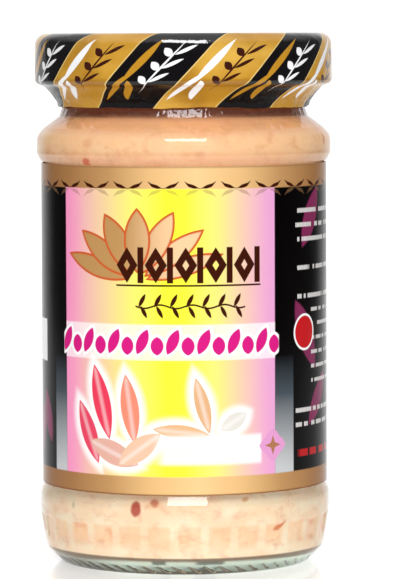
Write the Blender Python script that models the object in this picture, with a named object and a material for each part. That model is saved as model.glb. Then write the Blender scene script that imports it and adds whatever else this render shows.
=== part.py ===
"""A sealed glass jar of crushed galangal: jar, paste, label, twist-off lid, gasket and shrink sleeve.

Metres, +Z up. The origin is the centre of the foot, on the surface that the jar stands on.
The label's front faces -Y. Angles run anticlockwise from there, seen from above.
"""

import math

import bmesh
import bpy
from mathutils import Vector

# Driving dimensions. The sleeve over the lid is the widest part.
TOTAL_HEIGHT = 0.0911
SLEEVE_RADIUS = 0.0256
SHOULDER_RADIUS = 0.02535
HEEL_RADIUS = 0.02495
PANEL_RADIUS = 0.0241
NECK_RADIUS = 0.0212
FINISH_RADIUS = 0.0223
FOOT_RADIUS = 0.0196
GAP = 0.0003

# Thicknesses.
GLASS_WALL = 0.0022
FLOOR_THICKNESS = 0.0040
FILM = 0.0002
PAPER = 0.0002
TINPLATE = 0.0003
GASKET = 0.0008

# Heights above the surface that the jar stands on.
FLUTE_LOW_Z = 0.0047
FLUTE_HIGH_Z = 0.0079
HEEL_TOP_Z = 0.0124
LABEL_LOW_Z = 0.0139
LABEL_HIGH_Z = 0.0689
SHOULDER_Z = 0.0735
NECK_LOW_Z = 0.0769
NECK_HIGH_Z = 0.0799
SLEEVE_LOW_Z = 0.0784
PASTE_TOP_Z = 0.0826

# The lid's heights are worked down from the top of the sleeve.
LID_TOP_Z = TOTAL_HEIGHT - FILM - GAP
GASKET_TOP_Z = LID_TOP_Z - TINPLATE - GAP
RIM_Z = GASKET_TOP_Z - GASKET - GAP
LID_LOW_Z = LID_TOP_Z - 0.0077
LID_RADIUS = SLEEVE_RADIUS - FILM - GAP
CURL_RADIUS = 0.00055

# Turned pieces share one count of flats, so that neighbours' flats line up. A flute takes two of them.
FLUTES = 30
FLATS = 2 * FLUTES
FLAT_ARC = 2 * math.pi / FLATS
FLUTE_DEPTH = 0.0003
LABEL_GAP_FLATS = 2

# The thread is four ramps, and the lid has one lug for each.
LUGS = 4
RAMP_ARC = math.radians(66)
RAMP_STEPS = 11
RAMP_RISE = 0.0014
RAMP_HEIGHT = 0.0012
RAMP_RADIUS = 0.0235
LUG_ARC = math.radians(12)
LUG_LEAD = math.radians(5)
LUG_STEPS = 2
LUG_INNER_RADIUS = 0.02265

# A fillet is drawn with one chord for each of these turns, or part of one.
CHORD_TURN = math.radians(32)


def finish(name, colour, roughness, metallic=0.0, transmission=0.0, alpha=1.0):
    """A plain Principled material."""
    material = bpy.data.materials.new(name)
    material.use_nodes = True
    shader = material.node_tree.nodes["Principled BSDF"]
    shader.inputs["Base Color"].default_value = (*colour, 1.0)
    shader.inputs["Roughness"].default_value = roughness
    shader.inputs["Metallic"].default_value = metallic
    shader.inputs["Transmission Weight"].default_value = transmission
    shader.inputs["Alpha"].default_value = alpha
    return material


def polar(radius, angle):
    """The (r, z) point at an angle on a circle in the profile's plane, about its own centre."""
    return Vector((radius * math.cos(angle), radius * math.sin(angle)))


def rounded(*corners):
    """A profile of (r, z) points from corners of (r, z) or (r, z, fillet radius)."""
    points = []
    for index, corner in enumerate(corners):
        here = Vector(corner[:2])
        if len(corner) == 2:
            points.append(here)
            continue
        fillet = corner[2]
        back = (Vector(corners[index - 1][:2]) - here).normalized()
        ahead = (Vector(corners[index + 1][:2]) - here).normalized()
        half = back.angle(ahead) / 2
        reach = fillet / math.tan(half)
        centre = here + (back + ahead).normalized() * (fillet / math.sin(half))
        first = here + back * reach - centre
        last = here + ahead * reach - centre
        turn = math.pi - 2 * half
        if first.x * last.y < first.y * last.x:
            turn = -turn
        chords = max(1, math.ceil(abs(turn) / CHORD_TURN - 0.2))
        start = math.atan2(first.y, first.x)
        points += [centre + polar(fillet, start + turn * n / chords) for n in range(chords + 1)]
    return points


def sheet(outer, thickness):
    """Closes an open profile into a thin wall: the profile, then the same line set to its right."""
    inner = []
    for index, point in enumerate(outer):
        before = outer[max(index - 1, 0)]
        after = outer[min(index + 1, len(outer) - 1)]
        along = (after - before).normalized()
        inner.append(point + Vector((along.y, -along.x)) * thickness)
    return outer + inner[::-1]


def placed(name, body, material):
    """Puts a bmesh in the scene as a smooth-shaded object with one material."""
    bmesh.ops.recalc_face_normals(body, faces=body.faces)
    mesh = bpy.data.meshes.new(name)
    body.to_mesh(mesh)
    body.free()
    if material:
        mesh.materials.append(material)
    mesh.shade_smooth()
    mesh.set_sharp_from_angle(angle=math.radians(35))
    piece = bpy.data.objects.new(name, mesh)
    bpy.context.scene.collection.objects.link(piece)
    return piece


def turned(name, profile, material, ring=False):
    """Turns a profile about Z. A ring's profile closes on itself, and any other ends on the axis."""
    body = bmesh.new()
    line = [body.verts.new((0.0, -point.x, point.y)) for point in profile]
    pairs = list(zip(line, line[1:]))
    if ring:
        pairs.append((line[-1], line[0]))
    edges = [body.edges.new(pair) for pair in pairs]
    bmesh.ops.spin(
        body, geom=line + edges, axis=(0, 0, 1), angle=2 * math.pi, steps=FLATS, use_merge=True
    )
    bmesh.ops.remove_doubles(body, verts=body.verts, dist=1e-6)
    return placed(name, body, material)


def curved_bar(name, section, start, arc, steps, material=None):
    """A closed bar round Z. section gives its (r, z) corners at each share of the way along."""
    body = bmesh.new()
    rows = []
    for step in range(steps + 1):
        angle = start + arc * step / steps
        spoke = Vector((math.sin(angle), -math.cos(angle)))
        corners = section(step / steps)
        rows.append([body.verts.new((*(spoke * r), z)) for r, z in corners])
    for row, after in zip(rows, rows[1:]):
        for corner in range(len(row)):
            beside = (corner + 1) % len(row)
            body.faces.new((row[corner], row[beside], after[beside], after[corner]))
    body.faces.new(rows[0])
    body.faces.new(rows[-1])
    return placed(name, body, material)


def fuse(piece, bars):
    """Joins bars to a piece with one applied Boolean union, and removes them."""
    group = bpy.data.collections.new(piece.name + "_bars")
    bpy.context.scene.collection.children.link(group)
    for bar in bars:
        bpy.context.scene.collection.objects.unlink(bar)
        group.objects.link(bar)
    union = piece.modifiers.new("join", "BOOLEAN")
    union.operation = "UNION"
    union.operand_type = "COLLECTION"
    union.collection = group
    graph = bpy.context.evaluated_depsgraph_get()
    piece.data = bpy.data.meshes.new_from_object(piece.evaluated_get(graph))
    piece.modifiers.clear()
    for bar in bars:
        bpy.data.objects.remove(bar)
    bpy.data.collections.remove(group)


def jar_outside():
    """The glass's outer profile, from the centre of the base up to the rim."""
    return rounded(
        (0.0, 0.0016),
        (0.0150, 0.0013),
        (0.0170, 0.0),
        (FOOT_RADIUS, 0.0),
        (0.0214, 0.0002),
        (0.0238, 0.0026, 0.0015),
        (0.0242, 0.0041),
        (0.02435, FLUTE_LOW_Z),
        (0.0248, FLUTE_HIGH_Z),
        (HEEL_RADIUS, 0.0087),
        (HEEL_RADIUS, HEEL_TOP_Z, 0.0005),
        (PANEL_RADIUS, LABEL_LOW_Z - 0.0005),
        (PANEL_RADIUS, LABEL_HIGH_Z + 0.0001),
        (0.0247, 0.0693),
        (SHOULDER_RADIUS, 0.0706, 0.0010),
        (SHOULDER_RADIUS, SHOULDER_Z, 0.0022),
        (0.0240, 0.0750),
        (NECK_RADIUS, NECK_LOW_Z),
        (NECK_RADIUS, NECK_HIGH_Z),
        (FINISH_RADIUS, 0.0812),
        (FINISH_RADIUS, RIM_Z, 0.0008),
        (0.0207, RIM_Z),
    )


def jar_inside(clearance=0.0):
    """The glass's inner profile, from the rim to the middle of the floor, set in by a clearance."""
    bore = NECK_RADIUS - GLASS_WALL - clearance
    belly = PANEL_RADIUS - GLASS_WALL - clearance
    bulge = SHOULDER_RADIUS - GLASS_WALL - clearance
    floor = FLOOR_THICKNESS + clearance
    return rounded(
        (bore + 0.0007, RIM_Z),
        (bore + 0.0002, RIM_Z - 0.0002),
        (bore, RIM_Z - 0.0007),
        (bore, NECK_LOW_Z + 0.0001, 0.0020),
        (bulge, 0.0730, 0.0020),
        (bulge, 0.0708, 0.0010),
        (belly, 0.0690),
        (belly, floor, 0.0060),
        (0.0, floor + 0.0012),
    )


def thread_ramp(start):
    """One ramp of the thread. It climbs anticlockwise and fades out at both ends."""
    low = LID_LOW_Z + 2 * CURL_RADIUS + 0.0001
    root = FINISH_RADIUS - 0.0006
    faded = FINISH_RADIUS + 0.0002

    def section(share):
        fade = min(1.0, 8 * share, 8 * (1 - share))
        crest = faded + (RAMP_RADIUS - faded) * fade
        z = low + RAMP_RISE * share
        return [
            (root, z),
            (crest, z + RAMP_HEIGHT * 0.2),
            (crest, z + RAMP_HEIGHT * 0.8),
            (root, z + RAMP_HEIGHT),
        ]

    return curved_bar("ramp", section, start, RAMP_ARC, RAMP_STEPS)


def press_flutes(jar):
    """Scoops the flutes out of the heel, by drawing in every second line of its points."""
    for vertex in jar.data.vertices:
        place = vertex.co
        reach = math.hypot(place.x, place.y)
        in_band = FLUTE_LOW_Z - 0.0001 < place.z < FLUTE_HIGH_Z + 0.0001
        flat = round(math.atan2(place.x, -place.y) / FLAT_ARC)
        if in_band and reach > PANEL_RADIUS and flat % 2:
            place.xy *= (reach - FLUTE_DEPTH) / reach


def glass_jar():
    """The jar: foot ring, fluted heel, recessed label panel, shoulder, neck and threaded finish."""
    glass = finish("jar_glass", (0.86, 0.93, 0.90), 0.03, transmission=1.0, alpha=0.35)
    jar = turned("glass_jar", jar_outside() + jar_inside(), glass)
    press_flutes(jar)
    fuse(jar, [thread_ramp(2 * math.pi * number / LUGS) for number in range(LUGS)])


def galangal_paste():
    """The crushed root, which fills the jar into its neck and is a little heaped on top."""
    flesh = finish("paste_flesh", (0.86, 0.62, 0.43), 0.55)
    wall = [point for point in jar_inside(GAP) if point.y < NECK_HIGH_Z]
    side = wall[0].x
    top = [
        Vector((0.0, PASTE_TOP_Z + 0.0008)),
        Vector((0.6 * side, PASTE_TOP_Z + 0.0005)),
        Vector((side - 0.0008, PASTE_TOP_Z)),
        Vector((side, PASTE_TOP_Z - 0.0008)),
    ]
    turned("galangal_paste", top + wall, flesh)


def paper_label():
    """The label, which wraps nearly all the way round and leaves a gap at the back."""
    print_finish = finish("label_print", (0.80, 0.60, 0.33), 0.35)
    inner = PANEL_RADIUS + GAP
    outer = inner + PAPER
    start = math.pi + FLAT_ARC * LABEL_GAP_FLATS / 2
    steps = FLATS - LABEL_GAP_FLATS

    def section(_share):
        return [
            (inner, LABEL_LOW_Z),
            (outer, LABEL_LOW_Z),
            (outer, LABEL_HIGH_Z),
            (inner, LABEL_HIGH_Z),
        ]

    curved_bar("paper_label", section, start, FLAT_ARC * steps, steps, print_finish)


def lug(start):
    """One lug, pressed inwards from the curl, to hook under the low end of a ramp."""
    root = LID_RADIUS - CURL_RADIUS
    low = LID_LOW_Z + 0.0002
    high = LID_LOW_Z + 2 * CURL_RADIUS - 0.0002

    def section(share):
        nose = LUG_INNER_RADIUS + 0.0003 * abs(2 * share - 1)
        return [(root, low), (root, high), (nose, high - 0.0001), (nose, low + 0.0001)]

    return curved_bar("lug", section, start + LUG_LEAD, LUG_ARC, LUG_STEPS)


def lid_shell():
    """The tinplate lid: safety button, panel, raised channel, skirt, and curl with its lugs."""
    tin = finish("lid_tin", (0.78, 0.62, 0.25), 0.3, metallic=1.0)
    panel = LID_TOP_Z - 0.0006
    skirt = LID_RADIUS - 0.0003
    curl_top = LID_LOW_Z + 2 * CURL_RADIUS
    outside = rounded(
        (0.0, panel - 0.0001),
        (0.0088, panel + 0.0001),
        (0.0095, panel + 0.0003),
        (0.0103, panel),
        (0.0187, panel),
        (0.0194, LID_TOP_Z),
        (skirt, LID_TOP_Z, 0.0011),
        (skirt, curl_top),
    )
    curl_centre = Vector((LID_RADIUS - CURL_RADIUS, LID_LOW_Z + CURL_RADIUS))
    curl = [curl_centre + polar(CURL_RADIUS, math.radians(turn)) for turn in (0, -60, -120, -180)]
    bore = skirt - TINPLATE
    inside = [
        Vector((bore, curl_top)),
        Vector((bore, LID_TOP_Z - TINPLATE - 0.0005)),
        Vector((bore - 0.0005, LID_TOP_Z - TINPLATE)),
    ]
    flat_part = [point for point in outside if point.x < 0.0195]
    under = [point - Vector((0.0, TINPLATE)) for point in flat_part]
    lid = turned("lid_shell", outside + curl + inside + under[::-1], tin)
    fuse(lid, [lug(2 * math.pi * number / LUGS) for number in range(LUGS)])


def lid_gasket():
    """The sealing ring that lies in the lid's channel, over the jar's rim."""
    compound = finish("gasket_compound", (0.85, 0.84, 0.80), 0.6)
    low = GASKET_TOP_Z - GASKET
    profile = rounded(
        (0.0202, GASKET_TOP_Z),
        (0.0234, GASKET_TOP_Z),
        (0.0238, GASKET_TOP_Z - 0.0004),
        (0.0238, low),
        (0.0198, low),
        (0.0198, GASKET_TOP_Z - 0.0004),
    )
    turned("lid_gasket", profile, compound, ring=True)


def shrink_sleeve():
    """The film band: a lip on the lid's top, a straight side, and a taper shrunk in to the neck."""
    film = finish("sleeve_film", (0.72, 0.50, 0.14), 0.25)
    neck_end = NECK_RADIUS + GAP + FILM
    outside = rounded(
        (0.0214, TOTAL_HEIGHT),
        (SLEEVE_RADIUS, TOTAL_HEIGHT, 0.0017),
        (SLEEVE_RADIUS, 0.0826, 0.0009),
        (0.0240, 0.0820),
        (0.0226, 0.0804),
        (neck_end + 0.0002, 0.0793),
        (neck_end, SLEEVE_LOW_Z),
    )
    turned("shrink_sleeve", sheet(outside, FILM), film, ring=True)


for leftover in list(bpy.data.objects):
    bpy.data.objects.remove(leftover)
glass_jar()
galangal_paste()
paper_label()
lid_shell()
lid_gasket()
shrink_sleeve()
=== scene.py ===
"""A sealed glass jar of crushed galangal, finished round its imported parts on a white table.

Metres, +Z up. The label's front faces -Y, and angles run anticlockwise from there, seen from above.
Profiles, patterns and reliefs are worked out in millimetres.
"""

import math

import bmesh
import bpy
from mathutils import Matrix, Vector


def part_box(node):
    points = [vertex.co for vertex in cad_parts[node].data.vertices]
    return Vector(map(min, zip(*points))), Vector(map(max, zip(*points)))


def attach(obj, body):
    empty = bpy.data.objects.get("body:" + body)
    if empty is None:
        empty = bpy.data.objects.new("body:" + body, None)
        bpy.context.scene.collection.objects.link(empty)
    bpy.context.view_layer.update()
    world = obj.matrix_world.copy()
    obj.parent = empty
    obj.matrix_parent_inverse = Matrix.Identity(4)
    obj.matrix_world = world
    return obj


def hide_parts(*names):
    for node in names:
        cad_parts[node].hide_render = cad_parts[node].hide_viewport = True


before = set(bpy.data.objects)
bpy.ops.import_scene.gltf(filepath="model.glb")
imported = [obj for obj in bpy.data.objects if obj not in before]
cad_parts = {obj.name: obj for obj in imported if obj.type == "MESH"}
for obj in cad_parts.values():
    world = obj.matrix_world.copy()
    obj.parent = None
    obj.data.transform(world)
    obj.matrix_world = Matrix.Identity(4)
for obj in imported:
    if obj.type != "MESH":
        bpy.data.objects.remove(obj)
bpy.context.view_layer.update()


# Glass jar: one piece of clear soda-lime glass, pressed and blown in a mould. The mould leaves
# scoops between the ribs of the heel, slanted knurls round the foot, a fine seam up each side,
# and the four ramps on the finish that the lid's lugs pull against.

MM = 0.001
SEAM_GAP = 0.002 * MM
SHARP_CORNER = math.radians(40)
RIM_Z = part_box("glass_jar")[1].z / MM
SHOULDER_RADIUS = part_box("glass_jar")[1].x / MM
PANEL_RADIUS = 24.1
HEEL_RADIUS = 24.95
NECK_RADIUS = 21.2
FINISH_RADIUS = 22.3
GLASS_WALL = 2.2
JAR_FLOOR = 2.4
FLOOR_FILLET = 1.4
GLASS_FLATS = 450
ARC_RADIUS = 24.0
RIBS = 30
RIB_TURN = math.radians(-4.3)
KNURLS = 54
KNURL_SLANT = 0.7
KNURL_LOW, KNURL_HIGH = 0.7, 1.9
RAMPS = 4
RAMP_ARC = 66.0
RAMP_RUN_OUT = 8.0
RAMP_RISE = 1.4
RAMP_LOW_Z = 84.7
SEAM_HALF_WIDTH = 0.5
OUTER_SKIN = (22.6, 23.2)
JAR_OUTSIDE = (
    (0.0, 1.6),
    (15.0, 1.3),
    (17.0, 0.0),
    (19.6, 0.0),
    (21.4, 0.2, 0.6),
    (23.8, 2.6, 1.5),
    (24.2, 4.1, 2.0),
    (24.8, 7.9, 4.0),
    (HEEL_RADIUS, 8.9, 3.0),
    (HEEL_RADIUS, 12.2, 1.6),
    (PANEL_RADIUS, 14.1, 0.3),
    (PANEL_RADIUS, 69.0, 0.1),
    (24.7, 69.3, 0.3),
    (SHOULDER_RADIUS, 70.6, 1.0),
    (SHOULDER_RADIUS, 73.5, 2.2),
    (24.0, 75.0, 1.0),
    (NECK_RADIUS + 0.2, 76.9, 0.5),
    (NECK_RADIUS - 0.35, 78.7, 0.6),
    (NECK_RADIUS - 0.3, 79.9, 0.3),
    (FINISH_RADIUS, 81.2, 0.4),
    (FINISH_RADIUS, RIM_Z, 0.8),
    (20.7, RIM_Z),
)
GLASS_CLEAR = (0.965, 0.99, 0.975, 1.0)
GLASS_SCOOP_SHADE = (0.95, 0.7, 0.53, 1.0)
GLASS_FOOT = (0.66, 0.84, 0.86, 1.0)


def jar_inside(clearance=0.0):
    """The corners of the glass's inside, from the rim to the middle of the floor."""
    bore = NECK_RADIUS - GLASS_WALL - clearance
    belly = PANEL_RADIUS - GLASS_WALL - clearance
    bulge = SHOULDER_RADIUS - GLASS_WALL - clearance
    floor = JAR_FLOOR + clearance
    return (
        (bore + 0.7, RIM_Z),
        (bore + 0.2, RIM_Z - 0.2),
        (bore, RIM_Z - 0.7),
        (bore, 77.0, 2.0),
        (bulge, 73.0, 2.0),
        (bulge, 71.2, 1.0),
        (belly, 61.0, 6.0),
        (belly, 22.0, 6.0),
        (HEEL_RADIUS - GLASS_WALL - clearance, 11.0, 5.0),
        (belly + 0.2, floor, FLOOR_FILLET - clearance),
        (0.0, floor + 1.4),
    )


def rounded(corners, chord=math.radians(8)):
    """A profile of (r, z) points from corners of (r, z) or (r, z, fillet radius)."""
    points = []
    for index, corner in enumerate(corners):
        here = Vector(corner[:2])
        if len(corner) == 2:
            points.append(here)
            continue
        fillet = corner[2]
        back = (Vector(corners[index - 1][:2]) - here).normalized()
        ahead = (Vector(corners[index + 1][:2]) - here).normalized()
        half = back.angle(ahead) / 2
        centre = here + (back + ahead).normalized() * (fillet / math.sin(half))
        first = here + back * (fillet / math.tan(half)) - centre
        last = here + ahead * (fillet / math.tan(half)) - centre
        turn = math.pi - 2 * half
        if first.x * last.y < first.y * last.x:
            turn = -turn
        chords = max(2, math.ceil(abs(turn) / chord))
        start = math.atan2(first.y, first.x)
        for step in range(chords + 1):
            angle = start + turn * step / chords
            points.append(centre + Vector((math.cos(angle), math.sin(angle))) * fillet)
    return points


def filled_in(points, step, low=-1.0, high=999.0, inner=0.0):
    """Adds points between two heights and beyond an inner radius, at most a step apart."""
    result = [points[0]]
    for before, after in zip(points, points[1:]):
        parts = 1
        middle = (before + after) / 2
        if low < middle.y < high and middle.x > inner:
            parts = max(1, math.ceil((after - before).length / step))
        result += [before.lerp(after, part / parts) for part in range(1, parts + 1)]
    return result


class Field:
    """A number that changes over a piece, as a node's output. Arithmetic on it adds nodes."""

    def __init__(self, tree, socket):
        self.tree = tree
        self.socket = socket

    def math(self, operation, *others):
        node = self.tree.nodes.new("ShaderNodeMath")
        node.operation = operation
        for socket, value in zip(node.inputs, (self, *others)):
            if isinstance(value, Field):
                self.tree.links.new(value.socket, socket)
            else:
                socket.default_value = value
        return Field(self.tree, node.outputs[0])

    def __add__(self, other):
        return self.math("ADD", other)

    def __sub__(self, other):
        return self.math("SUBTRACT", other)

    def __rsub__(self, other):
        return self.math("MULTIPLY_ADD", -1.0, other)

    def __mul__(self, other):
        return self.math("MULTIPLY", other)

    def __truediv__(self, other):
        return self.math("DIVIDE", other)

    def __neg__(self):
        return self.math("MULTIPLY", -1.0)

    def __abs__(self):
        return self.math("ABSOLUTE")

    __radd__ = __add__
    __rmul__ = __mul__

    def most(self, other):
        return self.math("MAXIMUM", other)

    def fraction(self):
        """What is left over the whole number below."""
        return self.math("FRACT")

    def rise(self, start, end):
        """0 at start, 1 at end, and a smooth step between them. start may be the higher."""
        node = self.tree.nodes.new("ShaderNodeMapRange")
        node.interpolation_type = "SMOOTHSTEP"
        self.tree.links.new(self.socket, node.inputs["Value"])
        upwards = start < end
        node.inputs["From Min"].default_value = min(start, end)
        node.inputs["From Max"].default_value = max(start, end)
        node.inputs["To Min"].default_value = 0.0 if upwards else 1.0
        node.inputs["To Max"].default_value = 1.0 if upwards else 0.0
        return Field(self.tree, node.outputs["Result"])

    def near(self, low, high, soft):
        """1 between two values and 0 outside them, with soft edges."""
        return self.rise(low - soft, low + soft) * self.rise(high + soft, high - soft)


def hypotenuse(across, up):
    """The distance of a spot from the origin."""
    return (across * across + up * up).math("SQRT")


def add(tree, kind, links=(), **settings):
    """Adds a node, and links or sets its inputs from (name or number, value) pairs."""
    node = tree.nodes.new(kind)
    for name, value in settings.items():
        setattr(node, name, value)
    for name, value in dict(links).items():
        if isinstance(value, Field):
            value = value.socket
        if isinstance(value, bpy.types.NodeSocket):
            tree.links.new(value, node.inputs[name])
        else:
            node.inputs[name].default_value = value
    return node


def stretched(tree, vector, factors):
    """A vector with each of its numbers multiplied by its own factor."""
    links = {0: vector, 1: factors}
    return add(tree, "ShaderNodeVectorMath", links, operation="MULTIPLY").outputs["Vector"]


def combined(tree, x, y, z):
    """A vector of three numbers."""
    return add(tree, "ShaderNodeCombineXYZ", {"X": x, "Y": y, "Z": z}).outputs["Vector"]


def parted(tree, vector):
    """The three numbers of a vector."""
    split = add(tree, "ShaderNodeSeparateXYZ", {"Vector": vector})
    return [Field(tree, split.outputs[axis]) for axis in "XYZ"]


def new_tree(name, kind, inputs, outputs):
    """A node tree with named sockets, and its two end nodes."""
    tree = bpy.data.node_groups.new(name, kind)
    for label, socket_kind in inputs.items():
        tree.interface.new_socket(label, in_out="INPUT", socket_type=socket_kind)
    for label, socket_kind in outputs.items():
        tree.interface.new_socket(label, in_out="OUTPUT", socket_type=socket_kind)
    return tree, tree.nodes.new("NodeGroupInput"), tree.nodes.new("NodeGroupOutput")


class Place:
    """Where a point of a piece is, in millimetres and radians."""

    def __init__(self, tree, position, seed=0.0):
        self.tree = tree
        self.seed = seed
        self.vector = stretched(tree, position, (1 / MM,) * 3)
        self.x, self.y, self.z = parted(tree, self.vector)
        self.radius = hypotenuse(self.x, self.y)
        self.angle = self.x.math("ARCTAN2", -self.y)

    def noise(self, scale, detail=2.0, stretch=(1.0, 1.0, 1.0), seed=0.0):
        """Noise about 0, between -1 and 1, with about scale waves in each millimetre."""
        spot = stretched(self.tree, self.vector, stretch)
        links = {"Vector": spot, "W": self.seed + seed, "Scale": scale, "Detail": detail}
        noise = add(self.tree, "ShaderNodeTexNoise", links, noise_dimensions="4D")
        return Field(self.tree, noise.outputs[0]) * 2.0 - 1.0


def turning_tree():
    """Wraps a grid round Z, with one row of it for each point of a profile."""
    tree, given, result = new_tree(
        "turned profile",
        "GeometryNodeTree",
        {"Profile": "NodeSocketGeometry", "Flats": "NodeSocketInt"},
        {"Geometry": "NodeSocketGeometry"},
    )
    profile = given.outputs["Profile"]
    flats = Field(tree, given.outputs["Flats"])
    size = add(tree, "GeometryNodeAttributeDomainSize", {"Geometry": profile})
    rows = Field(tree, size.outputs["Point Count"])
    grid = add(tree, "GeometryNodeMeshGrid", {"Vertices X": flats + 1.0, "Vertices Y": rows})
    index = Field(tree, add(tree, "GeometryNodeInputIndex").outputs["Index"])
    column = ((index + 0.5) / rows).math("FLOOR")
    point = add(
        tree,
        "GeometryNodeSampleIndex",
        {
            "Geometry": profile,
            "Value": add(tree, "GeometryNodeInputPosition").outputs["Position"],
            "Index": index - column * rows,
        },
        data_type="FLOAT_VECTOR",
    )
    radius, _, height = parted(tree, point.outputs["Value"])
    angle = column / flats * (2 * math.pi)
    wrapped = combined(
        tree, radius * angle.math("SINE"), -(radius * angle.math("COSINE")), height
    )
    links = {"Geometry": grid.outputs["Mesh"], "Position": wrapped}
    moved = add(tree, "GeometryNodeSetPosition", links)
    tree.links.new(moved.outputs["Geometry"], result.inputs["Geometry"])
    return tree


turning = turning_tree()


def end_tree(tree, geometry, finish, result):
    """Ends a shape's tree with plain geometry, covered in its finish."""
    real = add(tree, "GeometryNodeRealizeInstances", {"Geometry": geometry})
    links = {"Geometry": real.outputs["Geometry"], "Material": finish}
    covered = add(tree, "GeometryNodeSetMaterial", links)
    tree.links.new(covered.outputs["Geometry"], result.inputs["Geometry"])


def run(name, tree, values, start):
    """Runs a shape's tree on a mesh, and keeps the result as a plain mesh with its faces out."""
    piece = bpy.data.objects.new(name, start)
    bpy.context.scene.collection.objects.link(piece)
    modifier = piece.modifiers.new("shape", "NODES")
    modifier.node_group = tree
    for socket in tree.interface.items_tree:
        if socket.name in values:
            modifier[socket.identifier] = values[socket.name]
    graph = bpy.context.evaluated_depsgraph_get()
    piece.data = bpy.data.meshes.new_from_object(piece.evaluated_get(graph))
    piece.modifiers.clear()
    body = bmesh.new()
    body.from_mesh(piece.data)
    bmesh.ops.recalc_face_normals(body, faces=body.faces)
    body.to_mesh(piece.data)
    body.free()
    piece.data.shade_smooth()
    piece.data.set_sharp_from_angle(angle=SHARP_CORNER)
    return piece


class Shape:
    """A turned piece under construction: its tree, its sizes and the place of its points."""

    def __init__(self, name, profile, flats, finish, closed=False, **sizes):
        self.name = name
        self.values = {"Flats": flats, **sizes, "Finish": finish}
        kinds = {key: "NodeSocketFloat" for key in self.values}
        kinds |= {"Flats": "NodeSocketInt", "Finish": "NodeSocketMaterial"}
        self.tree, self.given, self.result = new_tree(
            name + " shape",
            "GeometryNodeTree",
            {"Profile": "NodeSocketGeometry", **kinds},
            {"Geometry": "NodeSocketGeometry"},
        )
        line = [*profile, profile[0]] if closed else profile
        self.profile = bpy.data.meshes.new(name)
        self.profile.from_pydata([(point.x * MM, 0.0, point.y * MM) for point in line], [], [])
        links = {key: self.given.outputs[key] for key in ("Profile", "Flats")}
        turned = add(self.tree, "GeometryNodeGroup", links, node_tree=turning)
        self.geometry = turned.outputs["Geometry"]
        position = add(self.tree, "GeometryNodeInputPosition").outputs["Position"]
        seed = self.size("Seed") if "Seed" in sizes else 0.0
        self.place = Place(self.tree, position, seed)

    def size(self, name):
        return Field(self.tree, self.given.outputs[name])

    def push(self, outwards, upwards=0.0):
        """Moves every point away from the axis, and upwards."""
        place = self.place
        radius = place.radius.most(0.001)
        offset = combined(
            self.tree, place.x / radius * outwards, place.y / radius * outwards, upwards
        )
        links = {"Geometry": self.geometry, "Offset": stretched(self.tree, offset, (MM,) * 3)}
        self.geometry = add(self.tree, "GeometryNodeSetPosition", links).outputs["Geometry"]

    def made(self):
        """Closes the seam and the poles, and makes the piece."""
        links = {"Geometry": self.geometry, "Distance": SEAM_GAP}
        merged = add(self.tree, "GeometryNodeMergeByDistance", links).outputs["Geometry"]
        end_tree(self.tree, merged, self.given.outputs["Finish"], self.result)
        return run(self.name, self.tree, self.values, self.profile)


def colour(red, green, blue):
    """A colour on the shader's own scale, from the 0 to 255 that a screen shows."""
    screen = [value / 255 for value in (red, green, blue)]
    return (*[v / 12.92 if v < 0.04045 else ((v + 0.055) / 1.055) ** 2.4 for v in screen], 1.0)


class Finish:
    """A material under construction, and the place of its points on the piece."""

    def __init__(self, name, **values):
        self.material = bpy.data.materials.new(name)
        self.material.use_nodes = True
        self.tree = self.material.node_tree
        self.shader = self.tree.nodes["Principled BSDF"]
        for key, value in values.items():
            self.shader.inputs[key.replace("_", " ")].default_value = value
        self.place = Place(self.tree, add(self.tree, "ShaderNodeTexCoord").outputs["Object"])

    def mix(self, share, first, second):
        """The first colour where share is 0 and the second where it is 1."""
        links = {0: share, 6: first, 7: second}
        return add(self.tree, "ShaderNodeMix", links, data_type="RGBA").outputs[2]

    def link(self, **values):
        for key, value in values.items():
            socket = value.socket if isinstance(value, Field) else value
            self.tree.links.new(socket, self.shader.inputs[key.replace("_", " ")])

    def bump(self, height, strength=1.0):
        """Lets a height in millimetres tilt the surface."""
        links = {"Height": height, "Distance": MM, "Strength": strength}
        self.link(Normal=add(self.tree, "ShaderNodeBump", links).outputs["Normal"])


def handling_group():
    """Marks that handling leaves on gloss: wiped streaks, a little dust and shallow ripples."""
    tree, given, result = new_tree(
        "handling marks",
        "ShaderNodeTree",
        {"Place": "NodeSocketVector", "Smooth": "NodeSocketFloat", "Marked": "NodeSocketFloat"},
        {"Roughness": "NodeSocketFloat", "Ripple": "NodeSocketFloat"},
    )
    smooth, marked = (Field(tree, given.outputs[name]) for name in ("Smooth", "Marked"))

    def layer(scale, stretch):
        spot = stretched(tree, given.outputs["Place"], stretch)
        links = {"Vector": spot, "Scale": scale, "Detail": 3.0}
        return Field(tree, add(tree, "ShaderNodeTexNoise", links).outputs[0])

    wiped = layer(0.35, (1.0, 1.0, 0.25)).rise(0.45, 0.8)
    dust = layer(2.6, (1.0, 1.0, 1.0)).rise(0.62, 0.75)
    rough = smooth + (marked - smooth) * (wiped * 0.7 + dust * 0.3)
    tree.links.new(rough.socket, result.inputs["Roughness"])
    tree.links.new(layer(0.12, (1.0, 1.0, 0.6)).socket, result.inputs["Ripple"])
    return tree


handling = handling_group()


def handled(finish, smooth, marked):
    """The roughness and ripple that the handling group gives a finish."""
    links = {"Place": finish.place.vector, "Smooth": smooth, "Marked": marked}
    node = add(finish.tree, "ShaderNodeGroup", links, node_tree=handling)
    return [Field(finish.tree, node.outputs[name]) for name in ("Roughness", "Ripple")]


def ribbing(place):
    """How far a spot is pressed in by the scoops between the heel's ribs, from 0 to 1."""
    share = (place.angle - RIB_TURN) * (RIBS / (2 * math.pi))
    beside_rib = abs((share + 0.5).fraction() - 0.5)
    band = place.z.rise(4.2, 6.0) * place.z.rise(9.0, 8.2) * place.radius.rise(*OUTER_SKIN)
    return beside_rib.rise(0.07, 0.2) * band


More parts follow.
